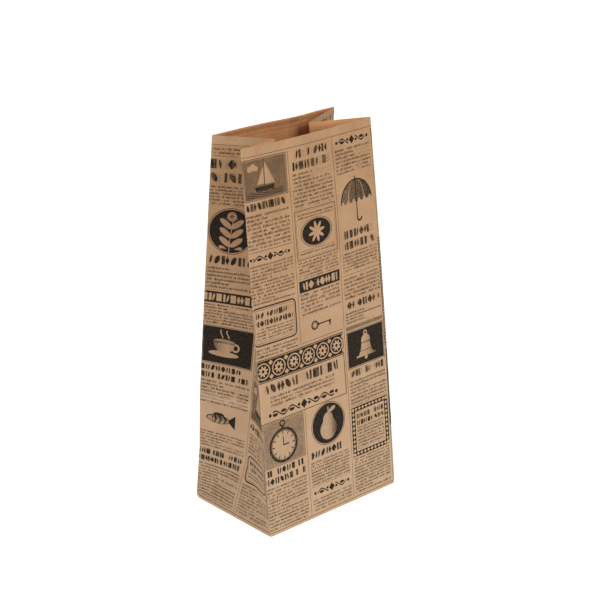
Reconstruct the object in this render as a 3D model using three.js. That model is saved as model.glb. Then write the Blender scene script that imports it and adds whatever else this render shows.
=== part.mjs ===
// A small kraft paper bag, standing open and empty.
// One sheet is folded into a tube of four panels: front, right gusset, back, left gusset.
// Its lower end is folded under and glued into a flat rectangular base, and its upper end is cut straight.
// The gussets are still folded in at the mouth and open out flat towards the base.
// Millimetres, +Z up, front panel facing -Y, origin at the centre of the base on the ground.

import * as THREE from "three";

// The cut and folded sheet.
const PANEL_WIDTH = 120; // front and back panels
const GUSSET_WIDTH = 82; // side panels, and so the depth of the base
const WALL_HEIGHT = 270; // base fold to cut edge, measured along the paper
const PAPER = 0.15; // one ply of kraft paper
const BASE_PLIES = 4; // glued layers under the bag's floor
const FOLD_UP = GUSSET_WIDTH / 2; // height of the crease made when the base is folded up flat on the back

// Where the cut edge stands, at its four corner folds and its two gusset creases.
const MOUTH = {
  frontLeft: new THREE.Vector3(-63.2, -21.1, 268.4),
  frontRight: new THREE.Vector3(56.6, -16.0, 269.5),
  backRight: new THREE.Vector3(63.2, 26.8, 268.5),
  backLeft: new THREE.Vector3(-56.3, 15.8, 270.0),
  creaseRight: new THREE.Vector3(24.8, 11.8, 266.0),
  creaseLeft: new THREE.Vector3(-24.0, -9.3, 266.5),
};

// Each gusset is a flat triangle above the base, leaning in a little, up to the foot of its centre crease.
const APEX_HEIGHT = 38;
const APEX_LEFT_X = -46.7;
const APEX_RIGHT_X = 45;

// How far the paper stands off the straight lines between its folds.
const BACK_CREASE_IN = 1.1; // back panel, at the crease FOLD_UP above the base
const BACK_BULGE_OUT = 1.1; // back panel, where the edge of the folded base pressed
const LEFT_EDGE_BOW = -0.4; // front left fold, sideways at half height
const RIGHT_EDGE_BOW = 1.4; // front right fold, sideways at half height
const FRONT_BELLY = 2.9; // front panel, outwards at the mouth
const BELLY_SKEW = 0.8; // under 1 moves the belly to the left
const BACK_DENT = { along: 0.34, depth: 1.7, reach: 0.16 }; // waves in the back of the cut edge,
const BACK_WAVE = { along: 0.12, depth: -1.3, reach: 0.08 }; // counted from its right corner
const WAVE_HEIGHT = 45; // how far the waves run down from the cut edge

// Fineness of the faceted surface.
const PANEL_STEPS = 12;
const HALF_GUSSET_STEPS = 4;
const UPPER_STEPS = 8;

const { lerp, smoothstep } = THREE.MathUtils;
const foot = (x, y) =>
  new THREE.Vector3((x * PANEL_WIDTH) / 2, (y * GUSSET_WIDTH) / 2, 0);

const corners = {
  frontLeft: { foot: foot(-1, -1), top: MOUTH.frontLeft, bow: LEFT_EDGE_BOW },
  frontRight: { foot: foot(1, -1), top: MOUTH.frontRight, bow: RIGHT_EDGE_BOW },
  backRight: { foot: foot(1, 1), top: MOUTH.backRight, back: true },
  backLeft: { foot: foot(-1, 1), top: MOUTH.backLeft, back: true },
};

const gussets = {
  right: {
    front: corners.frontRight,
    back: corners.backRight,
    apex: new THREE.Vector3(APEX_RIGHT_X, 0, APEX_HEIGHT),
    creaseTop: MOUTH.creaseRight,
  },
  left: {
    front: corners.frontLeft,
    back: corners.backLeft,
    apex: new THREE.Vector3(APEX_LEFT_X, 0, APEX_HEIGHT),
    creaseTop: MOUTH.creaseLeft,
  },
};

const between = (a, b, share) => a.clone().lerp(b, share);

// Distance of the back panel behind its straight line, at a height v along the paper.
function backStandOff(v) {
  if (v <= FOLD_UP) return lerp(0, -BACK_CREASE_IN, v / FOLD_UP);
  if (v <= GUSSET_WIDTH)
    return lerp(
      -BACK_CREASE_IN,
      BACK_BULGE_OUT,
      (v - FOLD_UP) / (GUSSET_WIDTH - FOLD_UP),
    );
  const rise = (v - GUSSET_WIDTH) / (WALL_HEIGHT - GUSSET_WIDTH);
  return BACK_BULGE_OUT * (1 - rise * rise);
}

// Displacement of a corner fold from its straight line.
function cornerStandOff(corner, v) {
  return corner.back
    ? new THREE.Vector3(0, backStandOff(v), 0)
    : new THREE.Vector3(
        corner.bow * Math.sin((Math.PI * v) / WALL_HEIGHT),
        0,
        0,
      );
}

function cornerPoint(corner, v) {
  return between(corner.foot, corner.top, v / WALL_HEIGHT).add(
    cornerStandOff(corner, v),
  );
}

function frontPoint(along, v) {
  const share = along / PANEL_WIDTH;
  const point = between(
    cornerPoint(corners.frontLeft, v),
    cornerPoint(corners.frontRight, v),
    share,
  );
  point.y -=
    FRONT_BELLY *
    Math.sin(Math.PI * share ** BELLY_SKEW) *
    smoothstep(v, 0, WALL_HEIGHT);
  return point;
}

function wave({ along, depth, reach }, share) {
  return depth * Math.exp(-(((share - along) / reach) ** 2));
}

// Counted from the right corner, as the walk round the tube goes.
function backPoint(along, v) {
  const share = along / PANEL_WIDTH;
  const point = between(
    cornerPoint(corners.backRight, v),
    cornerPoint(corners.backLeft, v),
    share,
  );
  const ends = Math.sin(Math.PI * share) ** 0.5;
  const fade = Math.exp(-(WALL_HEIGHT - v) / WAVE_HEIGHT);
  point.y -= (wave(BACK_DENT, share) + wave(BACK_WAVE, share)) * ends * fade;
  return point;
}

// along is counted from the gusset's front fold. Two creases run at 45 degrees from the corners of the base
// to the apex, and one from the apex up to the mouth. Between them the paper is flat.
function gussetPoint(gusset, along, v) {
  const half = GUSSET_WIDTH / 2;
  const { front, back, apex, creaseTop } = gusset;
  const inset = Math.min(along, GUSSET_WIDTH - along); // from the nearer corner fold
  if (v <= inset) {
    const edge = between(front.foot, back.foot, along / GUSSET_WIDTH);
    const lean = apex.clone().sub(between(front.foot, back.foot, 0.5));
    return edge.addScaledVector(lean, v / half);
  }
  const corner = along < half ? front : back;
  const low = between(corner.foot, apex, inset / half);
  const high = between(corner.top, creaseTop, inset / half);
  return between(low, high, (v - inset) / (WALL_HEIGHT - inset)).addScaledVector(
    cornerStandOff(corner, v),
    1 - inset / half,
  );
}

// Heights of the rows of vertices. Those under the apex match the gusset's stations, so that the slanting
// creases run from corner to corner of the cells.
const rows = [];
for (let i = 0; i < HALF_GUSSET_STEPS; i++)
  rows.push((FOLD_UP * i) / HALF_GUSSET_STEPS);
rows.push(FOLD_UP, (FOLD_UP + GUSSET_WIDTH) / 2);
for (let i = 0; i <= UPPER_STEPS; i++)
  rows.push(lerp(GUSSET_WIDTH, WALL_HEIGHT, i / UPPER_STEPS));

// Stations of one row: the walk goes round the tube anticlockwise seen from above, from the front left fold.
const stations = [];
function addStations(steps, width, pointAt, creaseRises = () => true) {
  for (let i = 0; i < steps; i++)
    stations.push({
      point: (v) => pointAt((width * i) / steps, v),
      rises: creaseRises(i),
    });
}
const gussetSteps = 2 * HALF_GUSSET_STEPS;
const inFirstHalf = (i) => i < HALF_GUSSET_STEPS;
addStations(PANEL_STEPS, PANEL_WIDTH, frontPoint);
addStations(
  gussetSteps,
  GUSSET_WIDTH,
  (along, v) => gussetPoint(gussets.right, along, v),
  inFirstHalf,
);
addStations(PANEL_STEPS, PANEL_WIDTH, backPoint);
addStations(
  gussetSteps,
  GUSSET_WIDTH,
  (along, v) => gussetPoint(gussets.left, GUSSET_WIDTH - along, v),
  inFirstHalf,
);

const ringSize = stations.length;
const vertexAt = (row, station) => row * ringSize + (station % ringSize);

// Two triangles for each cell of a wall, split along the slanting creases, and facing out.
function wallTriangles() {
  const triangles = [];
  for (let row = 0; row + 1 < rows.length; row++)
    stations.forEach(({ rises }, i) => {
      const a = vertexAt(row, i);
      const b = vertexAt(row, i + 1);
      const c = vertexAt(row + 1, i + 1);
      const d = vertexAt(row + 1, i);
      if (rises) triangles.push([a, b, c], [a, c, d]);
      else triangles.push([a, b, d], [b, c, d]);
    });
  return triangles;
}

// The outer surface, as a geometry whose averaged normals say which way the paper's thickness goes.
function outerWall(triangles) {
  const points = rows.flatMap((v) => stations.map(({ point }) => point(v)));
  const geometry = new THREE.BufferGeometry().setFromPoints(points);
  geometry.setIndex(triangles.flat());
  geometry.computeVertexNormals();
  return geometry;
}

function bagGeometry() {
  const triangles = wallTriangles();
  const outer = outerWall(triangles);
  const count = rows.length * ringSize;
  const position = outer.getAttribute("position");
  const normal = outer.getAttribute("normal");
  const points = [];
  const out = new THREE.Vector3();
  for (let i = 0; i < count; i++)
    points.push(new THREE.Vector3().fromBufferAttribute(position, i));
  for (let i = 0; i < count; i++) {
    out.fromBufferAttribute(normal, i);
    points.push(points[i].clone().addScaledVector(out, -PAPER));
  }
  const floor = BASE_PLIES * PAPER;
  for (let i = 0; i < ringSize; i++) points[count + i].z = floor;
  const underside = points.push(new THREE.Vector3(0, 0, 0)) - 1;
  const floorCentre = points.push(new THREE.Vector3(0, 0, floor)) - 1;

  const faces = [...triangles];
  for (const [a, b, c] of triangles)
    faces.push([count + a, count + c, count + b]);
  const topRow = rows.length - 1;
  for (let i = 0; i < ringSize; i++) {
    const low = vertexAt(0, i);
    const lowNext = vertexAt(0, i + 1);
    const top = vertexAt(topRow, i);
    const topNext = vertexAt(topRow, i + 1);
    faces.push([top, topNext, count + topNext], [top, count + topNext, count + top]); // cut edge
    faces.push([underside, lowNext, low]);
    faces.push([floorCentre, count + low, count + lowNext]);
  }
  const geometry = new THREE.BufferGeometry().setFromPoints(points);
  geometry.setIndex(faces.flat());
  geometry.computeVertexNormals();
  return geometry;
}

const printedKraft = new THREE.MeshStandardMaterial({
  color: 0xbb9870,
  roughness: 0.8,
  metalness: 0,
});

const bag = new THREE.Mesh(bagGeometry(), printedKraft);
bag.name = "bag";

const group = new THREE.Group();
group.add(bag);

export default group;
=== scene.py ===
import math
from typing import NamedTuple

import bmesh
import bpy
from bpy.props import FloatProperty, FloatVectorProperty, PointerProperty
from bpy.types import Operator, Panel, PropertyGroup
from mathutils import Matrix, Vector, noise


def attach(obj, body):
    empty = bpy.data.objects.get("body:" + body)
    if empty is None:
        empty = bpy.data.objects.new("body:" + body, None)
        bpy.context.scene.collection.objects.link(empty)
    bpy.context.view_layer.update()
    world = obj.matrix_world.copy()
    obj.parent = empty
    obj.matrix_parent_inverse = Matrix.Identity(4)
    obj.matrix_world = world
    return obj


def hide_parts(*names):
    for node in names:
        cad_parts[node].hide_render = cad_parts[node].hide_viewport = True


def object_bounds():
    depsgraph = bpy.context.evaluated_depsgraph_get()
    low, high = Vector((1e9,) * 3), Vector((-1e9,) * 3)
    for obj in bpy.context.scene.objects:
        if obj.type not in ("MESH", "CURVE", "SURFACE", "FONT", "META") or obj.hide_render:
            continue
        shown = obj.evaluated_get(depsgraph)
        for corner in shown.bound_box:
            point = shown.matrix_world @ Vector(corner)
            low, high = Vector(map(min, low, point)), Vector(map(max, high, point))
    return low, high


bl_info = {
    "name": "Printed Kraft Bag",
    "version": (1, 0, 0),
    "blender": (4, 5, 0),
    "location": "3D View > Sidebar > Kraft Bag",
    "description": "Folds a printed kraft paper bag from its flat sheet and lights it",
    "category": "Object",
}

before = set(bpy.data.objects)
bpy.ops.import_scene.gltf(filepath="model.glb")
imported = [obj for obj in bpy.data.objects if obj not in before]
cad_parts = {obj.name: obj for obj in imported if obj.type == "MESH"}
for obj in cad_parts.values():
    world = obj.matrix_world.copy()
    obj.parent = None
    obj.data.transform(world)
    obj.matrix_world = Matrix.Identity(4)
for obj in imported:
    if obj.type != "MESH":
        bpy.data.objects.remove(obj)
CAD_BOX = [list(corner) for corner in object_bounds()]

MM = 0.001  # lengths below are in millimetres, and meshes in metres

# Where the cut edge stands, at its four corner folds and its two gusset creases.
MOUTH = {
    "front_left": (-63.2, -21.1, 268.4),
    "front_right": (56.6, -16.0, 269.5),
    "back_right": (63.2, 26.8, 268.5),
    "back_left": (-56.3, 15.8, 270.0),
    "crease_right": (24.8, 11.8, 266.0),
    "crease_left": (-24.0, -9.3, 266.5),
}
# Foot of each gusset's centre crease, where it splits into two slanting ones.
APEX = {"left": (-46.7, 0.0, 38.0), "right": (45.0, 0.0, 38.0)}

# How far the paper stands off the straight lines between its folds.
BACK_CREASE_IN = 1.1
BACK_BULGE_OUT = 1.1
EDGE_BOW = {"front_left": -0.4, "front_right": 1.4}  # sideways, at half height
FRONT_BELLY = 2.9
BELLY_SKEW = 0.8
BACK_DENT = {"along": 0.34, "depth": 1.7, "reach": 0.16}
BACK_WAVE = {"along": 0.12, "depth": -1.3, "reach": 0.08}
WAVE_HEIGHT = 45.0

# Small relief that the solid leaves out.
RIPPLE_SIZE = (52.0, 70.0)  # of the long soft waves in a panel
RIPPLE_FADE = 16.0  # waves die out this near a fold
COCKLE_SIZE = (13.0, 17.0)  # of the small bumps
COCKLE_SHARE = 0.3  # their depth, as a share of the waves'
SCORE_DEPTH = 0.22  # of the packing crease
SCORE_REACH = 0.8  # half its width
ROUND_FOLD = (0.5, 1.6)  # lines beside a fold, between which the paper turns
# How far in the base's corners are pushed, in their order along the sheet, and how near to a corner.
CRUSH = {"back_left": 1.1, "front_left": 0.5, "front_right": 0.6, "back_right": 0.8}
CRUSH_REACH = 4.5

# Plies of the folded base, in thicknesses of paper off the ground: each one's printed face.
PLY = {"back": 0.0, "back_turned": 2.2, "front": 2.4, "front_turned": 4.6, "gusset": 4.8}
PLY_RISE = 3.0  # a ply reaches its level this far in from its fold

SEAM_ALONG_BACK = 36.0  # from the right corner to where the sheet starts
SEAM_SINK = 0.22  # the inner ply of the seam lies this far in
CELL = 4.0  # of the flat sheet's grid
RUB_AND_HIGHLIGHT_BAND = (-3.4, -2.2, 1.6, 3.0)  # heights of the pale band's edges, from the fold of the imported base: rubbing plus a painted crease highlight
BOUNCE_PALE_BELOW = 250.0  # painted floor bounce light: the outside gets paler from this height down, by this much at the base
BOUNCE_PALE_SHARE = 0.48  # by this much at the base
MAP_MARGIN = 0.004  # of the OFBake map, round each side of the sheet
TURNED_OVER = math.radians(150.0)  # a fold steeper than this is drawn sharp


def lerp(a, b, share):
    return a + (b - a) * share


def smoothstep(value, low, high):
    share = min(max((value - low) / (high - low), 0.0), 1.0)
    return share * share * (3.0 - 2.0 * share)


class Corner(NamedTuple):
    """One corner fold of the tube, from the base up to the mouth."""

    foot: Vector
    top: Vector
    is_back: bool
    bow: float
    crush: float


class FoldedBag:
    """Maps the flat sheet, u round the tube from the front left fold and v up from the base, to the bag."""

    def __init__(self, sizes):
        self.width = sizes.panel_width / MM
        self.depth = sizes.gusset_width / MM
        self.height = sizes.wall_height / MM
        self.flap = sizes.bottom_flap / MM
        self.overlap = sizes.seam_overlap / MM
        self.paper = sizes.paper / MM
        self.ripple = sizes.waviness / MM
        self.girth = 2 * (self.width + self.depth)
        self.left = -self.depth - (self.width - SEAM_ALONG_BACK)
        self.right = self.width + self.depth + SEAM_ALONG_BACK + self.overlap
        self.corner_folds = (-self.depth, 0.0, self.width, self.width + self.depth)
        self.gusset_folds = (-self.depth / 2, self.width + self.depth / 2)
        self.corners = {}
        for name, crush in CRUSH.items():
            x, y = self.width / 2, self.depth / 2
            foot = Vector((x if "right" in name else -x, y if "back" in name else -y, 0.0))
            top, bow = Vector(MOUTH[name]), EDGE_BOW.get(name, 0.0)
            self.corners[name] = Corner(foot, top, "back" in name, bow, crush)

    def panel_at(self, u):
        """The panel under u, and the distance into it: from the left or right corner, or the front fold."""
        if u < -self.depth:
            u += self.girth
        if u > self.width + self.depth:
            return "back", u - self.width - self.depth
        if u > self.width:
            return "right", u - self.width
        if u >= 0:
            return "front", u
        return "left", -u

    def back_stand_off(self, v):
        crease, fold = self.depth / 2, self.depth
        if v <= crease:
            return lerp(0.0, -BACK_CREASE_IN, v / crease)
        if v <= fold:
            return lerp(-BACK_CREASE_IN, BACK_BULGE_OUT, (v - crease) / (fold - crease))
        rise = (v - fold) / (self.height - fold)
        return BACK_BULGE_OUT * (1.0 - rise * rise)

    def corner_stand_off(self, corner, v):
        if corner.is_back:
            return Vector((0.0, self.back_stand_off(v), 0.0))
        return Vector((corner.bow * math.sin(math.pi * v / self.height), 0.0, 0.0))

    def corner_point(self, name, v):
        corner = self.corners[name]
        return lerp(corner.foot, corner.top, v / self.height) + self.corner_stand_off(corner, v)

    def front_point(self, along, v):
        share = along / self.width
        point = lerp(self.corner_point("front_left", v), self.corner_point("front_right", v), share)
        belly = math.sin(math.pi * share**BELLY_SKEW) * smoothstep(v, 0.0, self.height)
        point.y -= FRONT_BELLY * belly
        return point

    def back_point(self, along, v):
        share = along / self.width
        point = lerp(self.corner_point("back_right", v), self.corner_point("back_left", v), share)
        waves = sum(
            wave["depth"] * math.exp(-(((share - wave["along"]) / wave["reach"]) ** 2))
            for wave in (BACK_DENT, BACK_WAVE)
        )
        fade = math.exp(-(self.height - v) / WAVE_HEIGHT)
        point.y -= waves * math.sin(math.pi * min(max(share, 0.0), 1.0)) ** 0.5 * fade
        return point

    def gusset_point(self, side, along, v):
        half = self.depth / 2
        front, back = self.corners["front_" + side], self.corners["back_" + side]
        apex, crease_top = Vector(APEX[side]), Vector(MOUTH["crease_" + side])
        inset = min(along, self.depth - along)
        if v <= inset:
            edge = lerp(front.foot, back.foot, along / self.depth)
            return edge + (apex - lerp(front.foot, back.foot, 0.5)) * (v / half)
        corner = front if along < half else back
        low = lerp(corner.foot, apex, inset / half)
        high = lerp(corner.top, crease_top, inset / half)
        point = lerp(low, high, (v - inset) / (self.height - inset))
        return point + self.corner_stand_off(corner, v) * (1.0 - inset / half)

    def wall_point(self, u, v):
        panel, along = self.panel_at(u)
        if panel == "front":
            return self.front_point(along, v)
        if panel == "back":
            return self.back_point(along, v)
        return self.gusset_point(panel, along, v)

    def flap_point(self, u, v):
        """The foot of the tube, folded under: the gussets first, then the front panel, then the back."""
        panel, along = self.panel_at(u)
        down = -v
        x, y = self.width / 2, self.depth / 2
        lift = self.paper * smoothstep(down, 0.0, PLY_RISE)
        if panel in ("left", "right"):
            side = 1.0 if panel == "right" else -1.0
            return Vector((side * (x - down), along - y, PLY["gusset"] * lift))
        from_left = along if panel == "front" else self.width - along
        inward = 1.0 if panel == "front" else -1.0
        inset = min(along, self.width - along)
        if down <= inset:
            return Vector((from_left - x, inward * (down - y), PLY[panel] * lift))
        side = 1.0 if from_left > x else -1.0
        level = PLY[panel + "_turned"]
        return Vector((side * (x - down), inward * (inset - y), level * lift))

    def under_ply(self, u, v):
        """The lowest that the unprinted side of a flap may lie: on the printed face of the ply below it."""
        panel, _ = self.panel_at(u)
        return self.paper * (PLY.get(panel, 0.0) * smoothstep(-v, 0.0, PLY_RISE) + 0.2)

    def seam_sink(self, u, v):
        """How far in the sheet's first edge lies, under its last one."""
        share = 1.0 - smoothstep(u, self.left + self.overlap, self.left + self.overlap + PLY_RISE)
        return SEAM_SINK * share * Vector((0.0, -1.0, 0.0) if v >= 0 else (0.0, 0.0, 1.0))

    def crush(self, u, v):
        """How far in the paper is pushed at the base's blunted corners."""
        inward = Vector()
        for fold, corner in zip(self.corner_folds, self.corners.values()):
            near = max(1.0 - math.hypot(u - fold, v) / CRUSH_REACH, 0.0)
            inward -= corner.foot.normalized() * corner.crush * near * near
        return inward

    def has_packing_crease(self, u):
        """The crease made by folding the base up runs over the back and the back half of each gusset."""
        return u < -self.depth / 2 or u > self.width + self.depth / 2

    def relief(self, u, v):
        """Soft waves, small bumps and the packing crease, outwards."""
        folds = (*self.corner_folds, *self.gusset_folds)
        near = min(abs(u - fold) for fold in folds)
        still = smoothstep(near, 0.0, RIPPLE_FADE) * smoothstep(v, 0.0, RIPPLE_FADE)
        creased = self.has_packing_crease(u)
        if u < -self.depth:
            u += self.girth  # so that both plies of the seam wave alike
        wave = noise.noise(Vector((u / RIPPLE_SIZE[0], v / RIPPLE_SIZE[1], 3.1)))
        cockle = noise.noise(Vector((u / COCKLE_SIZE[0], v / COCKLE_SIZE[1], 8.4)))
        out = self.ripple * (wave + COCKLE_SHARE * cockle) * 2.0 * still
        if creased:
            out -= SCORE_DEPTH * max(0.0, 1.0 - abs(v - self.depth / 2) / SCORE_REACH)
        return out

    def outward(self, u, v):
        step = 1.0
        across = self.wall_point(u + step, v) - self.wall_point(u - step, v)
        up = self.wall_point(u, v + step) - self.wall_point(u, v)
        return across.cross(up).normalized()

    def point(self, u, v):
        if v < 0:
            place = self.flap_point(u, v)
        else:
            place = self.wall_point(u, v)
            inner = min(max(u, self.left + 1.0), self.right - 1.0)
            place = place + self.outward(inner, min(v, self.height - 1.0)) * self.relief(u, v)
        return (place + self.seam_sink(u, v) + self.crush(u, v)) * MM


# The printed page. Each column gives its left and right edge on the sheet and then, from the top down,
# what is printed, how tall it is, and the size of its type or pattern, if it has one. A height of 0 runs to
# the foot, and "hold" leaves room for what is laid over the columns.
PRINT_TOP = 262.5
PRINT_FOOT = 3.4
TOP_RULE = 264.3
FOOT_RULE = 2.0
FINE_LINE = 0.3
OVERLAY_SEED = 0.37
COLUMNS = (
    (-164.5, -128.5, """
        text 16 2.6, heading 7 6, text 18 2.6, cup 26, heading 14 6.4, text 22 2.2, hold 24,
        text 28 2.2, umbrella 34, text 30 2.7, reverse 8 7, text 0 2.2
    """),
    (-126, -90.5, """
        candle 24, heading 6 5.4, text 20 2.6, balloon 37, flourish 8 7, text 8 2.2, hold 24,
        text 20 2.2, beaded 30 4.4, text 22 2.6, watch 28, heading 10 4.8, text 0 2.4
    """),
    (-88, -42.5, """
        text 7 2.6, heading 19 9.2, text 15 2.3, sprig 33, heading 9 8.6, text 18 2.7, reverse 9 7.6,
        text 16 2.2, cup 29, heading 12 5.8, text 19 2.6, fish 20, text 14 2.2, heading 12 5.8,
        text 0 2.3
    """),
    (-40, -4.5, """
        text 40 2.7, umbrella 36, heading 14 6.4, text 34 2.2, grey 5, text 30 2.4, boat 30,
        flourish 9 8, text 16 2.6, notice 22 4.2, text 0 2.2
    """),
    (-2, 37, """
        boat 28, heading 8 7.2, text 24 2.7, rule 2.5 0.3, flourish 7 6, text 28 2.3, notice 29 5.6,
        text 8 2.4, hold 46, watch 33, heading 13 6.2, text 0 2.5
    """),
    (39.5, 78, """
        heading 16 7.8, text 25 2.6, advert 35 2.2, text 13 2.2, reverse 9 7.6, text 17 2.7, key 16,
        rule 3.5 0.3, hold 46, pear 32, heading 8 7.4, text 20 2.3, flourish 8 6.5, text 0 2.4
    """),
    (80.5, 117.5, """
        flourish 8 6.5, text 18 2.6, umbrella 38, heading 16 7.8, text 15 2.3, rule 2.5 0.3,
        text 17 2.7, heading 8 7.4, text 10 2.2, grey 4, bell 28, heading 8 7.2, text 20 2.6,
        beaded 38 5, text 0 2.3
    """),
    (120, 159.5, """
        notice 30 5.4, text 26 2.6, watch 30, flourish 8 7, text 38 2.3, grey 5, heading 12 5.6,
        text 30 2.7, candle 30, text 0 2.4
    """),
    (162, 203.5, """
        text 8 2.6, heading 9 7.4, text 14 2.4, reverse 8 7, text 30 2.2, balloon 42, text 16 2.7,
        rule 2.5 0.3, heading 12 5.4, text 34 2.3, key 16, text 30 2.6, advert 0 2.2
    """),
    (206, 247.5, """
        bell 28, heading 14 6.6, text 32 2.3, flourish 8 7, sprig 33, text 17 2.7, notice 26 5.4,
        text 20 2.4, boat 30, text 0 2.5
    """),
)
# Blocks laid over the columns: what, left, right, top, bottom, size.
OVERLAYS = """
    gutter -2 -0.8 111 82.9 0.6
    gutter 76.8 78 111 82.9 0.6
    rule -2 78 82.9 82 0.5
    medallions -2 78 128 111 13.3
    heading -0.8 76.8 110.6 101 9.4
    text 8 68 101 91.4 2.8
    flourish -0.8 76.8 91.4 82.9 7.4
    medallions -164.5 -90.5 158.5 142 12.3
    heading -164.5 -90.5 142 134.5 7.4
    chain -4.4 -2.1 114 12 1
    chain 118.6 121.5 262.5 251 1
    chain 117.6 119.9 186 106 1
    rule 118.3 120.8 104 46 58
    heading 170 199 267 261.6 5.4
    chain 199.6 201.6 268 240 1
    grey -164.5 -84 269 265.3 0.5
    grey 204 247.5 269 265.3 0.5
"""

# How much of each kind of print shows through to the inside, and how much of the others.
SHOW_THROUGH = {
    "plain": 0.0, "text": 0.13, "heading": 0.42, "flourish": 0.15, "chain": 0.5, "rule": 0.5,
    "gutter": 0.15, "grey": 0.8, "notice": 0.25, "advert": 0.25, "umbrella": 0.2, "fish": 0.15, "key": 0.12,
}
PICTURE_THROUGH = 0.45


class Block(NamedTuple):
    """A rectangle of the sheet, in millimetres, and what is printed in it."""

    kind: str
    left: float
    right: float
    bottom: float
    top: float
    size: float
    seed: float


def page_blocks():
    """Every printed rectangle: overlays first, as they win over what they cover."""
    blocks = []
    for line in OVERLAYS.strip().splitlines():
        kind, *numbers = line.split()
        left, right, top, bottom, size = map(float, numbers)
        blocks.append(Block(kind, left, right, bottom, top, size, OVERLAY_SEED))
    for number, (left, right, stack) in enumerate(COLUMNS):
        top = PRINT_TOP
        for entry in stack.split(","):
            kind, tall, *size = entry.split()
            bottom = top - float(tall) if float(tall) else PRINT_FOOT
            if kind != "hold":
                size = float(size[0]) if size else 1.0
                blocks.append(Block(kind, left, right, bottom, top, size, number + top / 10.0))
            top = bottom
        if number + 1 < len(COLUMNS):
            gutter = COLUMNS[number + 1][0]
            blocks.append(Block("gutter", right, gutter, PRINT_FOOT, PRINT_TOP, FINE_LINE, 0.0))
    left, right = COLUMNS[0][0], COLUMNS[-1][1]
    blocks.append(Block("rule", left, right, PRINT_TOP, TOP_RULE + 0.9, FINE_LINE, 0.0))
    blocks.append(Block("rule", left, right, FOOT_RULE, FOOT_RULE + 0.8, 0.4, 0.0))
    return blocks


def operator(operation, swapped=False):
    """A method of Wire that adds one Math node."""

    def method(self, other):
        return self.paint.math(operation, *((other, self) if swapped else (self, other)))

    return method


class Wire:
    """A socket of a material's node tree. Arithmetic on it adds Math nodes, and masks join with & and |."""

    __add__, __radd__ = operator("ADD"), operator("ADD", swapped=True)
    __sub__, __rsub__ = operator("SUBTRACT"), operator("SUBTRACT", swapped=True)
    __mul__, __rmul__ = operator("MULTIPLY"), operator("MULTIPLY", swapped=True)
    __truediv__ = operator("DIVIDE")
    __lt__, __gt__ = operator("LESS_THAN"), operator("GREATER_THAN")
    __and__, __or__ = operator("MULTIPLY"), operator("MAXIMUM")
    least, most = operator("MINIMUM"), operator("MAXIMUM")

    def __init__(self, paint, socket):
        self.paint = paint
        self.socket = socket

    def math(self, operation, *others):
        return self.paint.math(operation, self, *others)

    def __neg__(self):
        return self * -1.0

    def __abs__(self):
        return self.math("ABSOLUTE")

    def __invert__(self):
        return 1.0 - self

    def floor(self):
        return self.math("FLOOR")

    def sin(self):
        return self.math("SINE")

    def clamp(self):
        return self.most(0.0).least(1.0)

    def near(self, centre, reach):
        return self.math("COMPARE", centre, reach)

    def in_cell(self):
        """Where it lies in its whole step, from -0.5 to 0.5."""
        return self - self.floor() - 0.5


class Paint:
    """One material and its node tree."""

    def __init__(self, name):
        self.material = bpy.data.materials.new(name)
        self.material.use_nodes = True
        self.tree = self.material.node_tree
        self.tree.nodes.clear()

    def add(self, kind, settings, sockets, out=0):
        """Adds a node: its settings first, then what its sockets hold or are wired to."""
        node = self.tree.nodes.new(kind)
        for name, value in settings.items():
            setattr(node, name, value)
        for key, value in sockets.items():
            if isinstance(value, Wire):
                self.tree.links.new(value.socket, node.inputs[key])
            elif value is not None:
                node.inputs[key].default_value = value
        return Wire(self, node.outputs[out]) if len(node.outputs) else node

    def math(self, operation, *values):
        return self.add("ShaderNodeMath", {"operation": operation}, dict(enumerate(values)))

    def vector(self, x, y, z=0.0):
        return self.add("ShaderNodeCombineXYZ", {}, {0: x, 1: y, 2: z})

    def uv(self, name):
        """The two coordinates that a UV map holds."""
        layer = self.add("ShaderNodeUVMap", {"uv_map": name}, {})
        split = "ShaderNodeSeparateXYZ"
        return self.add(split, {}, {0: layer}, 0), self.add(split, {}, {0: layer}, 1)

    def attribute(self, name):
        return self.add("ShaderNodeAttribute", {"attribute_name": name}, {}, 2)

    def noise(self, x, y, z=0.0, detail=2.0):
        sockets = {"Vector": self.vector(x, y, z), "Scale": 1.0, "Detail": detail}
        return self.add("ShaderNodeTexNoise", {"noise_dimensions": "3D"}, sockets)

    def random(self, x, y, z=0.0):
        settings = {"noise_dimensions": "3D"}
        return self.add("ShaderNodeTexWhiteNoise", settings, {"Vector": self.vector(x, y, z)})

    def ramp(self, value, low, high):
        """0 at low, 1 at high, straight between."""
        return ((value - low) / (high - low)).clamp()

    def mix(self, share, first, second):
        """Two colours, mixed by a share."""
        settings = {"data_type": "RGBA"}
        return self.add("ShaderNodeMix", settings, {0: share, 6: colour(first), 7: colour(second)}, 2)

    def finish(self, sockets):
        """Ends the material with its surface shader."""
        surface = self.add("ShaderNodeBsdfPrincipled", {}, sockets)
        self.add("ShaderNodeOutputMaterial", {"target": "ALL"}, {"Surface": surface})
        return self.material


def colour(value):
    """A colour as a socket takes it: with alpha, unless it is a wire."""
    return value if isinstance(value, Wire) else (*value, 1.0)


class Spot:
    """Where a point lies in its block: x from the left and down from the top, in millimetres."""

    def __init__(self, paint):
        self.x, self.y = paint.uv("Block")
        self.wide, self.tall = paint.uv("Extent")
        self.size, self.seed = paint.uv("Traits")
        self.down = self.tall - self.y
        self.mid_x, self.mid_y = self.x - self.wide / 2, self.y - self.tall / 2
        self.from_middle = abs(self.mid_x)
        self.edge = self.x.least(self.wide - self.x).least(self.y.least(self.down))

    def picture(self):
        """The same point for a picture: 0, 0 in the middle and 1 at the nearer edges, y up."""
        half = self.wide.least(self.tall) / 2
        return self.mid_x / half, self.mid_y / half


def distance(x, y):
    return (x * x + y * y).math("SQRT")


def disc(x, y, radius):
    return (x * x + y * y) < radius * radius


def oval(x, y, flat_x, flat_y, size=1.0):
    """A filled ellipse: the larger a factor, the narrower it is that way."""
    return (x * x * flat_x + y * y * flat_y) < size


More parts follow.
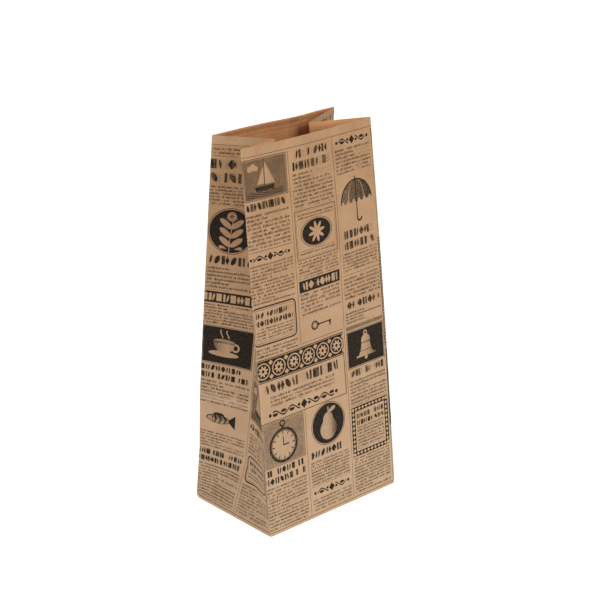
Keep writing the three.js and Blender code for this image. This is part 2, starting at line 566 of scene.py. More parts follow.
def ring(x, y, radius, thick):
    return distance(x, y).near(radius, thick)


def box(x, y, half_x, half_y):
    return (abs(x) < half_x) & (abs(y) < half_y)


# Patterns. Each takes the material's Paint and a Spot, and gives 1 where there is ink.


WORD_SPREAD = 40.0  # how far a row's words are shifted against the next row's, in rows' heights
BLANK_SHARE = 0.37  # levels of the noise under which small type has a gap between words,
THIN_SHARE = 0.4  # and none of its strokes
TEXT_MARGIN = 0.9


def small_type(p, s, down, pitch):
    """Rows of broken strokes in ragged words: what small type looks like, with nothing to read."""
    line = down / pitch
    row = line.floor()
    rise = line - row
    place = s.x / pitch + p.random(row, s.seed) * WORD_SPREAD
    word = p.noise(place * 1.1, row * 3.0, s.seed, 0.0) > BLANK_SHARE
    blot = p.noise(place * 5.0, rise * 2.2 + row * 7.0, s.seed, 0.0)
    stroke = 0.24 * (place * 17.0).sin() + 0.9 * blot > THIN_SHARE
    tall = p.random((place * 4.2).floor(), row, s.seed + 4.0) > 0.75
    body = rise.near(0.6, 0.25) | (rise.near(0.45, 0.37) & tall)
    return word & stroke & body


def text(p, s):
    """A paragraph: small type between margins, its last lines cut short."""
    short = p.random((s.down / s.size).floor(), s.seed, 2.0)
    reach = s.wide * (1.0 - 0.5 * (short > 0.86) * short) - TEXT_MARGIN
    inside = (s.x > TEXT_MARGIN) & (s.x < reach) & (s.y > 0.5) & (s.down > 0.5)
    return small_type(p, s, s.down, s.size) & inside


def ornaments(p, s, down):
    """Bold blocks, lozenges and leaves in rows: as heavy as a heading, with nothing to read."""
    line = down / s.size
    row = line.floor()
    rise = line - row - 0.5
    place = s.x / s.size * 2.2 + p.random(row, s.seed) * 9.0
    place = place + 0.22 * (place * 2.1).sin()
    index = place.floor()
    across = place - index - 0.5
    pick = p.random(index, row, s.seed)
    side = (p.random(row, s.seed + 3.0) > 0.5) * 2.0 - 1.0
    slant = across + side * rise * 0.5
    block = abs(across) < (0.22 + 0.45 * pick)
    lozenge = (abs(across) / 0.48 + abs(rise) / 0.4) < 1.0
    leaf = oval(slant, rise, 13.0, 8.5)
    shape = (block & (pick < 0.48)) | (lozenge & pick.near(0.6, 0.12)) | (leaf & (pick > 0.72))
    there = p.random(index, row, s.seed + 8.0) > 0.12
    return shape & there & (abs(rise) < 0.36)


def heading(p, s):
    row = (s.down / s.size).floor()
    half = s.wide * (0.38 + 0.09 * p.random(row, s.seed))
    fits = (s.down < (s.tall / s.size).floor() * s.size) & (s.from_middle < half)
    return ornaments(p, s, s.down) & fits


def flourish(p, s):
    """A winding stem with a leaf in each bend, a lozenge in the middle and dots at its ends."""
    x, y = s.mid_x / s.size, s.mid_y / s.size
    half = s.wide / s.size * 0.36
    bend = (x * math.pi).sin()
    stem = abs(y - bend * 0.27) < 0.075
    leaf = oval(x.in_cell(), y + bend * 0.1, 9.0, 42.0)
    lozenge = (abs(x) * 1.1 + abs(y)) < 0.46
    ends = oval(abs(x) - half - 0.3, y, 1.0, 1.0, 0.03)
    return ((stem | leaf) & (abs(x) < half) & (abs(x) > 0.5)) | lozenge | ends


def chain(p, s):
    """A narrow black strip with a string of light lozenges and dots."""
    step = (s.y / 2.4).in_cell()
    across = s.mid_x / s.wide
    lozenge = (abs(across) * 1.7 + abs(step) * 1.5) < 0.52
    dot = oval(across, abs(step) - 0.5, 1.0, 1.1, 0.012)
    return (s.edge > 0.15) & ~(lozenge | dot)


def rule(p, s):
    return s.down.near(s.tall / 2, s.size / 2)


def gutter(p, s):
    return s.x.near(s.wide / 2, s.size / 2)


def grey(p, s):
    return halftone(s.x, s.y, 0.5 + 0.1 * p.noise(s.x / 3.0, s.y / 3.0, s.seed)) & (s.edge > 0.6)


def reverse(p, s):
    """A black band with light ornaments."""
    marks = ornaments(p, s, s.down - (s.tall - s.size) / 2)
    inner = s.down.near(s.tall / 2, s.size * 0.42) & (s.from_middle < s.wide * 0.43)
    return (s.edge > 0.4) & ~(marks & inner)


def round_frame(s, inset, radius, thick):
    """A frame with round corners."""
    over_x = s.from_middle - (s.wide / 2 - inset - radius)
    over_y = abs(s.mid_y) - (s.tall / 2 - inset - radius)
    inside = over_x.most(over_y).least(0.0)
    return (distance(over_x.most(0.0), over_y.most(0.0)) + inside).near(radius, thick / 2)


def headed_type(p, s, margin, pitch):
    """Two rows of ornaments, and small type under them."""
    band = s.down - margin
    bold = ornaments(p, s, band) & (band > 0.0) & (band < 2.0 * s.size)
    small = small_type(p, s, band, pitch) & (band > 2.0 * s.size + 0.6)
    return bold | small


def notice(p, s):
    """A boxed notice: thick round frame, fine inner one, a heading and small type."""
    frames = round_frame(s, 1.6, 3.4, 1.0) | round_frame(s, 3.0, 2.4, 0.25)
    inside = (s.edge > 4.2) & (s.from_middle < s.wide * 0.39)
    return frames | (headed_type(p, s, 4.0, 2.2) & inside)


def beaded(p, s):
    """Ornaments and small type in a thick black frame with light lozenges along it."""
    pitch, inset = 3.4, 2.2

    def string(along, over):
        return (abs(over) + abs((along / pitch).in_cell()) * pitch * 0.85) < 1.25

    beads = string(s.y, s.from_middle - (s.wide / 2 - inset))
    beads = beads | string(s.x, abs(s.mid_y) - (s.tall / 2 - inset))
    border = (s.edge > 0.4) & (s.edge < 4.0) & ~beads
    return border | (headed_type(p, s, 5.4, 2.4) & (s.edge > 5.2))


def advert(p, s):
    """Double thin frame with a dark oval in the middle and type above and below."""
    frames = s.edge.near(0.8, 0.22) | s.edge.near(1.8, 0.1)
    x, y = s.picture()
    reach = x * x * 1.3 + y * y * 2.6
    seal = reach.near(0.83, 0.03) | ((reach < 0.7) & ~petal_rose(x, y, 0.3, 0.12))
    small = small_type(p, s, s.down - 0.6, s.size) & (abs(y) > 0.62) & (s.edge > 3.2)
    return frames | seal | small


def petal_rose(x, y, radius, depth):
    """A flower of eight petals round the middle."""
    return distance(x, y) < radius + depth * (y.math("ARCTAN2", x) * 8.0).sin()


def medallions(p, s):
    """Black panel with a row of round ornaments and thin light edges."""
    x = (s.x / s.size).in_cell() * 15.0
    y = s.mid_y / s.size * 15.0
    light = ring(x, y, 6.1, 0.5) | (petal_rose(x, y, 3.7, 0.9) & (distance(x, y) > 1.3))
    leaves = ((abs(abs(x) - 7.5) * 0.9 + abs(abs(y) - 5.6)) < 2.0) | (s.edge.near(1.1, 0.2))
    return (s.edge > 0.3) & ~(light | leaves)


def halftone(x, y, tone):
    """Ink dots that grow with the tone, in rows at 45 degrees."""
    across, along = (x + y) * 8.0, (x - y) * 8.0
    return (0.5 + 0.5 * across.sin() * along.sin()) < tone


# Pictures. Each takes x and y from -1 to 1, and gives how dark it is and where it covers its ground.


def cup(x, y):
    bowl = disc(x, y - 0.2, 0.56) & (y < 0.2)
    rim = oval(x, y - 0.2, 1.0, 16.0, 0.3136)
    saucer = oval(x, y + 0.42, 1.0, 30.0, 0.62)
    handle = ring(x - 0.6, y + 0.02, 0.17, 0.045)
    steam = (abs(abs(x + (y * 11.0).sin() * 0.06) - 0.16) < 0.03) & y.near(0.6, 0.2)
    tone = 0.16 + 0.5 * (abs(x - 0.2) * 1.3).clamp() * bowl + 0.3 * rim * (y > 0.12)
    return tone, bowl | rim | saucer | handle | steam


def sprig(x, y):
    stem = (abs(x - (y * 2.0).sin() * 0.06) < 0.02) & (y < 0.6)
    leaf_y = ((y + 0.8) * 2.6 - abs(x) * 1.6).in_cell()
    leaves = oval(abs(x) - 0.24, leaf_y, 14.0, 6.0, 0.9) & y.near(-0.1, 0.66)
    flower = (disc(x, y - 0.62, 0.2) & ~disc(x, y - 0.62, 0.07)) | disc(x, y - 0.62, 0.03)
    return 0.14 + 0.3 * abs(leaf_y) + 0.1 * flower, stem | leaves | flower


def umbrella(x, y):
    scallop = (abs(x) / 0.3).in_cell() * 0.3
    low = y + 0.1
    dome = disc(x, low, 0.86) & (low > 0.0) & ~oval(scallop, low, 4.0, 1.5, 0.02)
    shaft = (abs(x) < 0.026) & y.near(-0.1, 0.95) & (y > -0.72)
    hook = ring(x - 0.12, y + 0.72, 0.12, 0.034) & (y < -0.72)
    span = (0.86 * 0.86 - low * low).clamp().math("SQRT") + 0.02
    ribs = abs(abs(x) / span - 0.5).near(0.0, 0.025)
    rim = distance(x, low) > 0.81
    tone = 0.62 + 0.3 * (x * 0.7 + 0.3).clamp() - 0.5 * ribs + 0.4 * rim
    return tone + 1.0 * (shaft | hook), dome | shaft | hook


def watch(x, y):
    face_y = y + 0.14
    reach = distance(x, face_y)
    turn = face_y.math("ARCTAN2", x) * (12.0 / math.tau)
    ticks = (abs(turn - (turn + 0.5).floor()) < 0.09) & reach.near(0.53, 0.06)
    hands = box(x, face_y - 0.18, 0.025, 0.2) | box(x - 0.14, face_y, 0.15, 0.03)
    case = reach.near(0.7, 0.06) | reach.near(0.61, 0.012)
    crown = box(x, y - 0.66, 0.07, 0.07) | ring(x, y - 0.82, 0.12, 0.035)
    return 0.06 + 0.9 * (ticks | hands | case | crown), (reach < 0.76) | crown


def boat(x, y):
    main_sail = (x > 0.03) & (y > -0.3) & ((x / 0.62 + (y + 0.3) / 1.15) < 1.0)
    jib = (x < -0.03) & (y > -0.26) & ((-x / 0.44 + (y + 0.26) / 0.9) < 1.0)
    mast = box(x, y - 0.26, 0.02, 0.62)
    hull = (y < -0.36) & (y > -0.58) & (abs(x) < 0.72 + y * 0.35)
    sea = ((y * 60.0 + (x * 15.0).sin() * 1.5).sin() > 0.2) & y.near(-0.74, 0.15) & (abs(x) < 1.1)
    cloud = disc(x + 0.82, y - 0.52, 0.14) | disc(x + 0.64, y - 0.58, 0.17) | disc(x + 0.46, y - 0.51, 0.12)
    tone = 0.04 + 0.25 * (x * 1.2).clamp() * main_sail + 0.9 * (hull | mast | sea)
    return tone, main_sail | jib | mast | hull | sea | cloud


def balloon(x, y):
    bag = disc(x, y - 0.24, 0.6)
    half = (0.36 - (y - 0.24) * (y - 0.24)).most(0.01).math("SQRT")
    stripes = ((x / half).math("ARCSINE") * 3.2).math("FRACT") > 0.5
    basket = box(x, y + 0.78, 0.14, 0.1)
    ropes = (abs(abs(x) - (0.14 + (y + 0.68) * 0.6)) < 0.025) & y.near(-0.48, 0.2)
    rim = distance(x, y - 0.24) > 0.565
    return 0.22 + 0.7 * (stripes & bag) + 0.8 * (basket | ropes | rim), bag | basket | ropes


def key(x, y):
    bow = ring(x + 0.85, y, 0.34, 0.07) | ring(x + 0.85, y, 0.2, 0.02)
    shank = box(x - 0.25, y, 0.82, 0.06) | box(x + 0.4, y, 0.05, 0.13)
    bit = box(x - 0.92, y + 0.2, 0.12, 0.22) & ~box(x - 0.92, y + 0.28, 0.03, 0.09)
    return 0.95, bow | shank | bit


def pear(x, y):
    body = disc(x, y + 0.26, 0.48) | disc(x * 1.1, y - 0.2, 0.32) | box(x, y + 0.02, 0.34, 0.16)
    stem = box(x - 0.03, y - 0.62, 0.03, 0.15)
    leaf_x, leaf_y = x - 0.26 + (y - 0.6) * 0.5, y - 0.6 - (x - 0.26) * 0.4
    leaf = oval(leaf_x, leaf_y, 18.0, 110.0)
    shine = disc(x + 0.16, y + 0.16, 0.12)
    return 0.16 + 0.75 * ((x + 0.05) * 1.6).clamp() * body - 0.3 * shine, body | stem | leaf


def bell(x, y):
    flare = ((0.2 - y) * 1.3).clamp()
    body = (abs(x) < 0.3 + 0.3 * flare * flare) & y.near(-0.08, 0.38)
    dome = disc(x, y - 0.3, 0.3) & (y > 0.29)
    lip = box(x, y + 0.49, 0.66, 0.05)
    clapper = disc(x, y + 0.62, 0.11)
    handle = ring(x, y - 0.68, 0.1, 0.035)
    bands = body & (y.near(0.18, 0.03) | y.near(-0.24, 0.02))
    return 0.1 + 0.55 * ((x + 0.1) * 1.4).clamp() + 0.5 * bands, body | dome | lip | clapper | handle


def fish(x, y):
    round_body = (x + 0.15) * (x + 0.15) * 0.95 + y * y * 8.0
    body = round_body < 0.9
    tail = (x > 0.7) & (x < 1.25) & (abs(y) < (x - 0.6) * 0.8)
    fin = oval(x + 0.1, y - 0.34, 5.0, 40.0)
    eye = disc(x + 0.82, y - 0.06, 0.05)
    gill = ring(x + 1.1, y, 0.52, 0.025)
    scales = ((x * 16.0 + abs(y) * 9.0).sin() > 0.0) & (x > -0.5)
    back = ((y + 0.15) * 2.2).clamp()
    tone = 0.3 + 0.45 * back + 0.4 * scales + 0.6 * (gill | (round_body > 0.74)) - 1.0 * eye
    return tone + 0.6 * ((fin | tail) & ~body), body | tail | fin


def candle(x, y):
    wax = box(x, y - 0.02, 0.11, 0.34)
    flame = oval(x, y - 0.56, 70.0, 22.0)
    wick = box(x, y - 0.38, 0.015, 0.05)
    dish = oval(x, y + 0.44, 2.6, 40.0)
    handle = ring(x - 0.72, y + 0.4, 0.15, 0.045)
    rays = ((y - 0.56).math("ARCTAN2", x) * 8.0).sin() > 0.75
    halo = rays & ring(x, y - 0.56, 0.36, 0.07)
    tone = 0.1 + 0.5 * (x * 5.0).clamp() * wax + 0.75 * wick
    return tone, wax | flame | wick | dish | handle | halo


# For each picture: its drawing, how dark its ground is, and the ground's form.
PICTURES = {
    draw.__name__: (draw, ground_tone, form)
    for draw, ground_tone, form in (
        (cup, 1.04, "box"), (sprig, 1.02, "oval"), (umbrella, 0.0, "bare"), (watch, 0.5, "box"),
        (boat, 0.58, "box"), (balloon, 0.0, "bare"), (key, 0.0, "bare"), (pear, 1.02, "oval"),
        (bell, 1.04, "box"), (fish, 0.0, "bare"), (candle, 1.0, "box"),
    )
}


def picture(p, s, name):
    """A halftone picture on its ground."""
    draw, ground_tone, form = PICTURES[name]
    x, y = s.picture()
    tone, covered = draw(x, y)
    if form == "bare":
        return halftone(s.x, s.y, tone) & covered
    if form == "oval":
        ground, outline = oval(x, y, 1.0, 1.0, 0.84), ring(x, y, 0.965, 0.014)
    else:
        ground, outline = s.edge > 1.2, s.edge.near(0.6, 0.2)
    shade = ground_tone + 0.12 * (p.noise(s.x / 4.0, s.y / 4.0, s.seed) - 0.5)
    values = covered * tone + ~covered * (ground * shade)
    return (halftone(s.x, s.y, values) & (covered | ground)) | outline


DRAWERS = (text, heading, flourish, chain, rule, gutter, grey, reverse, notice, beaded, advert, medallions)
PATTERNS = {draw.__name__: draw for draw in DRAWERS}
KINDS = ("plain", *PATTERNS, *PICTURES, "inside")


PAPER_ROUGH = 0.8
INSIDE_ROUGH = 0.85
PAPER_GLOSS = 0.12
FIBRE_STRENGTH = 0.35
FIBRE_HEIGHT = 0.06


def kraft(p, dark, light):
    """Kraft paper by the sheet's own coordinates: its colour, its height from 0 to 1, and its flecks."""
    u, v = p.uv("Sheet")
    along = p.noise(u * 1.9, v * 0.45, 1.0, 4.0)
    across = p.noise(u * 0.5, v * 1.7, 5.0, 4.0)
    cloud = p.noise(u * 0.06, v * 0.05, 9.0, 3.0)
    fleck = p.ramp(p.noise(u * 3.1, v * 1.3, 2.0, 1.0), 0.66, 0.74)
    height = along * 0.6 + across * 0.4
    tone = p.ramp(height * 0.62 + cloud * 0.38, 0.36, 0.64)
    return p.mix(tone, dark, light), height, fleck


def finish_paper(p, base, height, rough):
    """Paper's shader, with its fibres as a fine bump."""
    sockets = {"Height": height, "Strength": FIBRE_STRENGTH, "Distance": FIBRE_HEIGHT * MM}
    bump = p.add("ShaderNodeBump", {}, sockets)
    sockets = {"Base Color": base, "Roughness": rough, "Normal": bump}
    return p.finish(sockets | {"Specular IOR Level": PAPER_GLOSS})


def printed_paper(kind, colours):
    """The outside of the bag, under one kind of print."""
    p = Paint("kraft_" + kind)
    base, height, fleck = kraft(p, colours.kraft_dark, colours.kraft_light)
    u, v = p.uv("Sheet")
    # Painted light bounced up from the floor: the outside is mixed towards its pale colour, more so nearer
    # the base.
    base = p.mix(BOUNCE_PALE_SHARE * p.ramp(v, BOUNCE_PALE_BELOW, 0.0), base, colours.worn_and_lit_pale)
    base = p.mix(fleck * 0.35, base, colours.fleck)
    wear = p.attribute("wear")
    rubbed_and_highlight = p.attribute("rubbed_and_highlight")
    patchy = p.ramp(p.noise(u * 0.3, v * 0.09, 6.0, 3.0), 0.38, 0.64)
    scuff = (wear * (0.06 + patchy * (0.2 + 0.7 * height))).clamp()
    # The packing crease's band: paler, with its ink faded, partly from rubbing and partly a painted crease
    # highlight.
    base = p.mix((rubbed_and_highlight * (0.14 + 0.5 * height)).clamp(), base, colours.worn_and_lit_pale)
    rough = PAPER_ROUGH - rubbed_and_highlight * 0.12
    if kind != "plain":
        ink = PATTERNS[kind](p, Spot(p)) if kind in PATTERNS else picture(p, Spot(p), kind)
        cover = ink * (1.18 - 0.4 * height) * (1.0 - 0.35 * rubbed_and_highlight)
        base = p.mix(cover.clamp(), base, colours.ink)
        rough = rough - ink * 0.1
    base = p.mix(scuff, base, colours.worn_and_lit_pale)
    return finish_paper(p, base, height, rough)


def inner_paper(colours, bag):
    """The inside of the bag: kraft whose stronger orange is painted bounce light, with the print and the
    glued seam faintly showing through, and a painted shadow line at the seam's edge.
    """
    p = Paint("kraft_inside")
    base, height, fleck = kraft(p, colours.inside_dark, colours.inside_light)
    u, v = p.uv("Sheet")
    s = Spot(p)
    rows = 0.8 + 0.2 * (v * (math.tau / 2.6)).sin()
    cloud = p.noise(u * 0.35, v * 0.3, 4.0, 3.0)
    print_through = s.size * p.ramp(s.edge, 0.0, 1.8) * rows * (0.4 + 1.2 * cloud)
    seam_end = bag.left + bag.overlap
    # A darker strip where the seam's two plies are glued, and a painted shadow line along the edge of its
    # inner ply.
    seam = 0.22 * p.ramp(u, seam_end + 0.8, seam_end - 0.8) + 0.4 * u.near(bag.left, 0.7)
    base = p.mix((print_through + seam + fleck * 0.2).clamp(), base, colours.show_through_and_shadow)
    return finish_paper(p, base, height, INSIDE_ROUGH)


def number(name, description, default, **more):
    return FloatProperty(name=name, description=description, default=default, **more)


def length(name, description, default, **more):
    return number(name, description, default, unit="LENGTH", **more)


class BagSizes(PropertyGroup):
    """The sheet's cut and folded sizes."""

    panel_width: length("Panel width", "Front and back panel", 0.120)
    gusset_width: length("Gusset width", "Side panel, and the depth of the base", 0.082)
    wall_height: length("Wall height", "Base fold to cut edge, along the paper", round(CAD_BOX[1][2], 4))
    bottom_flap: length("Bottom flap", "Part of the tube folded under the base", 0.050)
    seam_overlap: length("Seam overlap", "Glued strip where the sheet meets itself", 0.012)
    paper: length("Paper", "Thickness of one ply", 0.00015, precision=5)
    waviness: length("Waviness", "Depth of the soft waves in the panels", 0.0004)


def tint(name, description, default):
    return FloatVectorProperty(name=name, description=description, default=default, size=3, subtype="COLOR")


class BagColours(PropertyGroup):
    """Paper and ink, as linear colours; some also carry painted light."""

    kraft_dark: tint("Kraft, dark", "Outside between its fibres", (0.350, 0.193, 0.095))
    kraft_light: tint("Kraft, light", "Outside on its fibres", (0.495, 0.302, 0.163))
    # The inside's colours carry painted light: their stronger, more saturated orange stands in for light
    # bounced about inside the bag.
    inside_dark: tint("Inside, dark", "Inside between its fibres", (0.612, 0.288, 0.121))
    inside_light: tint("Inside, light", "Inside on its fibres", (0.810, 0.405, 0.178))
    fleck: tint("Fleck", "Dark flecks in the paper", (0.230, 0.120, 0.055))
    # Pale for real wear at the folds, and for painted light: the floor's bounce towards the base and the
    # crease highlight in the packing band.
    worn_and_lit_pale: tint("Worn", "Where folds and the packing have rubbed it pale", (0.640, 0.465, 0.310))
    # Also the colour of the painted shadow line at the seam's inner ply edge.
    show_through_and_shadow: tint("Show-through", "Print seen from inside through the paper", (0.300, 0.130, 0.048))
    ink: tint("Ink", "Print", (0.009, 0.006, 0.004))


def cut_sheet(bm, point, normal, area):
    """Cuts the flat sheet along a line, only through faces whose middle lies in the area."""
    left, right, bottom, top = (edge * MM for edge in area)
    faces = []
    for face in bm.faces:
        middle = face.calc_center_median()
        if left < middle.x < right and bottom < middle.y < top:
            faces.append(face)
    edges = {edge for face in faces for edge in face.edges}
    verts = {vert for face in faces for vert in face.verts}
    co = Vector((point[0], point[1], 0.0)) * MM
    no = Vector((normal[0], normal[1], 0.0))
    bmesh.ops.bisect_plane(bm, geom=[*faces, *edges, *verts], dist=1e-7, plane_co=co, plane_no=no)


def score_sheet(bm, bag):
    """Cuts the sheet at every fold and crease, and beside the folds, where the paper turns."""
    foot, seam, half = -bag.flap - 1, bag.left + bag.overlap, bag.depth / 2
    everywhere = (bag.left - 1, bag.right + 1, foot, bag.height + 1)
    beside = [-step for step in ROUND_FOLD] + [0.0, *ROUND_FOLD]
    folds = (*bag.corner_folds, *bag.gusset_folds)
    for u in [fold + step for fold in folds for step in beside]:
        cut_sheet(bm, (u, 0), (1, 0), everywhere)
    creases = [half - SCORE_REACH, half, half + SCORE_REACH]
    for v in beside + creases + [bag.depth + step for step in RUB_AND_HIGHLIGHT_BAND]:
        cut_sheet(bm, (0, v), (0, 1), everywhere)
    for u in (seam, seam + PLY_RISE):
        cut_sheet(bm, (u, 0), (1, 0), everywhere)
    to_gusset = 1  # which way a corner's gusset lies along the sheet
    for corner in bag.corner_folds:
        slanting = (corner + to_gusset * half, 0, half)
        mitre = (corner - to_gusset * bag.width / 2, foot, 0)
        for end, low, high in (slanting, mitre):
            area = (min(corner, end), max(corner, end), low, high)
            cut_sheet(bm, (corner, 0), (1, -to_gusset), area)
        to_gusset = -to_gusset


def outline_print(bm, bag, blocks):
    """Cuts the sheet along the edges of what is printed."""
    lefts = {block.left for block in blocks} | {block.right for block in blocks}
    for edge in sorted(lefts):
        cut_sheet(bm, (edge, 0), (1, 0), (bag.left - 1, bag.right + 1, 0, bag.height))
    for block in blocks:
        for edge in (block.bottom, block.top):
            cut_sheet(bm, (0, edge), (0, 1), (block.left, block.right, edge - 2 * CELL, edge + 2 * CELL))


def flat_sheet(bag, blocks):
    """The sheet before folding: a scored grid, then a copy of it one ply down, joined at the rim."""
    bm = bmesh.new()
    wide, tall = bag.right - bag.left, bag.height + bag.flap
    middle = Vector(((bag.left + bag.right) / 2, (bag.height - bag.flap) / 2, 0.0)) * MM
    place = Matrix.Translation(middle) @ Matrix.Diagonal((wide * MM / 2, tall * MM / 2, 1.0, 1.0))
    cells = {"x_segments": round(wide / CELL), "y_segments": round(tall / CELL)}
    bmesh.ops.create_grid(bm, **cells, size=1.0, matrix=place)
    score_sheet(bm, bag)
    outline_print(bm, bag, blocks)
    grown = bmesh.ops.extrude_face_region(bm, geom=bm.faces[:], use_keep_orig=True)
    copied = [item for item in grown["geom"] if isinstance(item, bmesh.types.BMVert)]
    bmesh.ops.translate(bm, verts=copied, vec=Vector((0.0, 0.0, -bag.paper * MM)))
    bmesh.ops.recalc_face_normals(bm, faces=bm.faces[:])
    return bm


def sort_faces(bm, bag):
    """Faces of the flat sheet's upper side, which becomes the outside, and all others."""
    half = -bag.paper * MM / 2
    outer = [face for face in bm.faces if all(vert.co.z > half for vert in face.verts)]
    chosen = set(outer)
    return outer, [face for face in bm.faces if face not in chosen]


def mark_maps(bm, bag, blocks, outer, others):
    """Gives each face its material slot, and each corner its places on the maps."""
    names = ("Sheet", "Block", "Extent", "Traits", "OFBake")
    layer = {name: bm.loops.layers.uv.new(name) for name in names}
    wide, tall = bag.right - bag.left, bag.height + bag.flap
    plain = Block("plain", 0.0, 1.0, 0.0, 1.0, 1.0, 0.0)
    scale = (1.0 - 2 * MAP_MARGIN) / wide
    outside_top = 2 * MAP_MARGIN + tall * scale
    squeeze = (1.0 - MAP_MARGIN - outside_top) / tall
    for faces, is_outer in ((outer, True), (others, False)):
        for face in faces:
            middle = face.calc_center_median() / MM
            block = block_at(blocks, middle.x, middle.y) or plain
            face.material_index = KINDS.index(block.kind if is_outer else "inside")
            size = block.size if is_outer else SHOW_THROUGH.get(block.kind, PICTURE_THROUGH)
            for loop in face.loops:
                u, v = loop.vert.co.x / MM, loop.vert.co.y / MM
                loop[layer["Sheet"]].uv = (u, v)
                loop[layer["Block"]].uv = (u - block.left, v - block.bottom)
                loop[layer["Extent"]].uv = (block.right - block.left, block.top - block.bottom)
                loop[layer["Traits"]].uv = (size, block.seed)
                across = MAP_MARGIN + (u - bag.left) * scale
                up = MAP_MARGIN + (v + bag.flap) * scale
                if not is_outer:
                    up = outside_top + (v + bag.flap) * squeeze
                loop[layer["OFBake"]].uv = (across, up)


def block_at(blocks, u, v):
    for block in blocks:
        if block.left < u < block.right and block.bottom < v < block.top:
            return block
    return None


def wear_and_highlight_at(bag, u, v):
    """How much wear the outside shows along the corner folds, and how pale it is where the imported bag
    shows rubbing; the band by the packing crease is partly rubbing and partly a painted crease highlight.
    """
    if v < -1.0:
        return 0.0, 0.0
    near = min(abs(u - fold) for fold in bag.corner_folds)
    wear = 1.0 if near < 0.1 else 0.55 if near < ROUND_FOLD[0] + 0.1 else 0.0
    crease = min(abs(u - fold) for fold in bag.gusset_folds)
    if crease < 0.1 and v > bag.depth / 2:
        wear = max(wear, 0.5)
    if abs(v) < ROUND_FOLD[0] + 0.1:
        wear = max(wear, 0.6)
    rubbed_and_highlight = 0.6 if -bag.depth <= u <= -bag.depth / 2 and v > TOP_RULE + 0.8 else 0.0
    if bag.has_packing_crease(u):
        if abs(v - bag.depth / 2) < 0.1:
            wear = max(wear, 0.6)
        # The band by the packing crease: rubbing plus a painted crease highlight.
        if RUB_AND_HIGHLIGHT_BAND[0] + 0.1 < v - bag.depth < RUB_AND_HIGHLIGHT_BAND[3] - 0.1:
            rubbed_and_highlight = 1.0
    return wear, rubbed_and_highlight


def fold_sheet(bm, bag, outer):
    """Moves the flat sheet's points to the standing bag: the outer side first, then one ply in from it."""
    wear, rubbed_and_highlight = (bm.verts.layers.float.new(name) for name in ("wear", "rubbed_and_highlight"))
    outer = set(outer)
    outside = {vert for face in outer for vert in face.verts}
    flat = {vert: (vert.co.x / MM, vert.co.y / MM) for vert in bm.verts}
    folds = (*bag.corner_folds, *bag.gusset_folds, 0.0)
    turning = []
    for vert, (u, v) in flat.items():
        vert.co = bag.point(u, v)
        vert[wear], vert[rubbed_and_highlight] = wear_and_highlight_at(bag, u, v)
        on_fold = min(abs(u - fold) for fold in folds) < 0.01 or abs(v) < 0.01
        if vert in outside and on_fold and v > -1.0:
            turning.append(vert)
    bmesh.ops.smooth_vert(bm, verts=turning, factor=0.5, use_axis_x=True, use_axis_y=True, use_axis_z=True)
    for face in outer:
        face.normal_update()
    towards = {}
    for vert in outside:
        total = sum((face.normal * face.calc_area() for face in vert.link_faces if face in outer), Vector())
        towards[spot_key(flat[vert])] = (vert.co.copy(), total.normalized())
    for vert in bm.verts:
        if vert not in outside:
            co, normal = towards[spot_key(flat[vert])]
            vert.co = co - normal * bag.paper * MM
            if flat[vert][1] <= 0.0:
                vert.co.z = max(vert.co.z, bag.under_ply(*flat[vert]) * MM)


def spot_key(place):
    return round(place[0], 3), round(place[1], 3)


def shade_paper(bm):
    """Smooth over the folds, sharp at the cut edge and where the base's flaps turn right over."""
    bm.normal_update()
    for face in bm.faces:
        face.smooth = True
    inside = KINDS.index("inside")
    for edge in bm.edges:
        kinds = {face.material_index == inside for face in edge.link_faces}
        edge.smooth = len(kinds) == 1 and edge.calc_face_angle(0.0) < TURNED_OVER


def stand(context, name, data):
    """A new object in the scene, at the origin."""
    thing = bpy.data.objects.new(name, data)
    context.scene.collection.objects.link(thing)
    return thing


def stand_mesh(context, name, bm):
    mesh = bpy.data.meshes.new(name)
    bm.to_mesh(mesh)
    bm.free()
    return stand(context, name, mesh)


class BAG_OT_fold(Operator):
    """Fold the printed sheet into the standing bag"""

    bl_idname = "kraft_bag.fold"
    bl_label = "Fold Bag"

    def execute(self, context):
        bag = FoldedBag(context.scene.bag_sizes)
        blocks = page_blocks()
        bm = flat_sheet(bag, blocks)
        outer, others = sort_faces(bm, bag)
        mark_maps(bm, bag, blocks, outer, others)
        fold_sheet(bm, bag, outer)
        shade_paper(bm)
        piece = stand_mesh(context, "folded_sheet", bm)
        colours = context.scene.bag_colours
        for kind in KINDS[:-1]:
            piece.data.materials.append(printed_paper(kind, colours))
        piece.data.materials.append(inner_paper(colours, bag))
        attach(piece, "root")
        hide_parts("bag")
        return {"FINISHED"}


# The photograph's camera, solved from the bag's corners.
CAMERA_TURN = -41.845  # degrees round Z from straight in front
CAMERA_RISE = 19.98  # degrees above level
CAMERA_ROLL = -0.473
CAMERA_FAR = 1.0279  # metres from the bag's middle
CAMERA_SHIFT = (3.74, 10.80)  # millimetres right and up, square to the view
CAMERA_LENS = 88.71
CAMERA_SENSOR = 36.0


def place_camera(context):
    turn, rise, roll = (math.radians(angle) for angle in (CAMERA_TURN, CAMERA_RISE, CAMERA_ROLL))
    back = Vector((math.sin(turn) * math.cos(rise), -math.cos(turn) * math.cos(rise), math.sin(rise)))
    level = Vector((math.cos(turn), math.sin(turn), 0.0))
    upright = back.cross(level)
    right = level * math.cos(roll) + upright * math.sin(roll)
    up = upright * math.cos(roll) - level * math.sin(roll)
    middle = Vector((0.0, 0.0, context.scene.bag_sizes.wall_height / 2))
    spot = middle + back * CAMERA_FAR + (right * CAMERA_SHIFT[0] + up * CAMERA_SHIFT[1]) * MM
    camera = bpy.data.cameras.new("camera")
    camera.lens = CAMERA_LENS
    camera.sensor_width = CAMERA_SENSOR
    holder = stand(context, "camera", camera)
    holder.matrix_world = Matrix.Translation(spot) @ Matrix((right, up, back)).transposed().to_4x4()
    context.scene.camera = holder


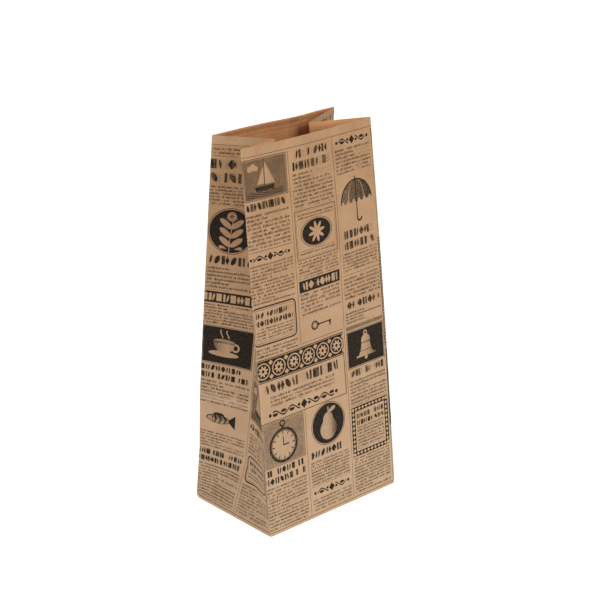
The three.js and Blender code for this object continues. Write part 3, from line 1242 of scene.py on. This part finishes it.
def softbox(context, name, place, size, power):
    """A square area light that faces the bag's middle."""
    light = bpy.data.lights.new(name, "AREA")
    light.shape = "SQUARE"
    light.size = size
    light.energy = power
    holder = stand(context, name, light)
    aim = Vector(place) - Vector((0.0, 0.0, context.scene.bag_sizes.wall_height / 2))
    holder.matrix_world = Matrix.Translation(place) @ aim.to_track_quat("Z", "Y").to_matrix().to_4x4()


class BagStage(PropertyGroup):
    """Light and floor."""

    ambient: number("Ambient", "Brightness of the surrounding white", 0.3)
    key_power: number("Key light", "Power of the front softbox", 12.0, unit="POWER")
    fill_power: number("Fill light", "Power of the left softbox", 10.0, unit="POWER")
    floor_tone: number("Floor", "How pale the floor is under its glow", 0.55, min=0.0, max=1.0)
    floor_glow: number("Floor glow", "How much the white floor shines by itself", 0.92)


class BAG_OT_stage(Operator):
    """Set up the pale floor, the studio light and the camera"""

    bl_idname = "kraft_bag.stage"
    bl_label = "Set Stage"

    def execute(self, context):
        stage = context.scene.bag_stage
        world = bpy.data.worlds.new("white_room")
        world.use_nodes = True
        background = world.node_tree.nodes["Background"]
        background.inputs["Color"].default_value = (1.0, 1.0, 1.0, 1.0)
        background.inputs["Strength"].default_value = stage.ambient
        context.scene.world = world
        bm = bmesh.new()
        bmesh.ops.create_grid(bm, x_segments=1, y_segments=1, size=6.0)
        floor = stand_mesh(context, "floor", bm)
        sockets = {
            "Base Color": (*(stage.floor_tone,) * 3, 1.0),
            "Roughness": 0.9,
            "Emission Color": (1.0, 1.0, 1.0, 1.0),
            "Emission Strength": stage.floor_glow,
        }
        floor.data.materials.append(Paint("floor_white").finish(sockets))
        softbox(context, "key_light", (0.5, -1.4, 1.1), 1.0, stage.key_power)
        softbox(context, "fill_light", (-1.3, -0.4, 1.4), 1.0, stage.fill_power)
        place_camera(context)
        context.scene.view_settings.view_transform = "Standard"
        return {"FINISHED"}


class BAG_PT_sidebar(Panel):
    """Sizes, colours and light of the bag"""

    bl_label = "Kraft Bag"
    bl_space_type = "VIEW_3D"
    bl_region_type = "UI"
    bl_category = "Kraft Bag"

    def draw(self, context):
        for group in (context.scene.bag_sizes, context.scene.bag_colours, context.scene.bag_stage):
            box_layout = self.layout.box()
            for name in group.__annotations__:
                box_layout.prop(group, name)
        self.layout.operator(BAG_OT_fold.bl_idname)
        self.layout.operator(BAG_OT_stage.bl_idname)


CLASSES = (BagSizes, BagColours, BagStage, BAG_OT_fold, BAG_OT_stage, BAG_PT_sidebar)


def register():
    for cls in CLASSES:
        bpy.utils.register_class(cls)
    bpy.types.Scene.bag_sizes = PointerProperty(type=BagSizes)
    bpy.types.Scene.bag_colours = PointerProperty(type=BagColours)
    bpy.types.Scene.bag_stage = PointerProperty(type=BagStage)


def unregister():
    del bpy.types.Scene.bag_stage
    del bpy.types.Scene.bag_colours
    del bpy.types.Scene.bag_sizes
    for cls in reversed(CLASSES):
        bpy.utils.unregister_class(cls)


def main():
    register()
    bpy.ops.kraft_bag.fold()
    bpy.ops.kraft_bag.stage()


if __name__ == "__main__":
    main()
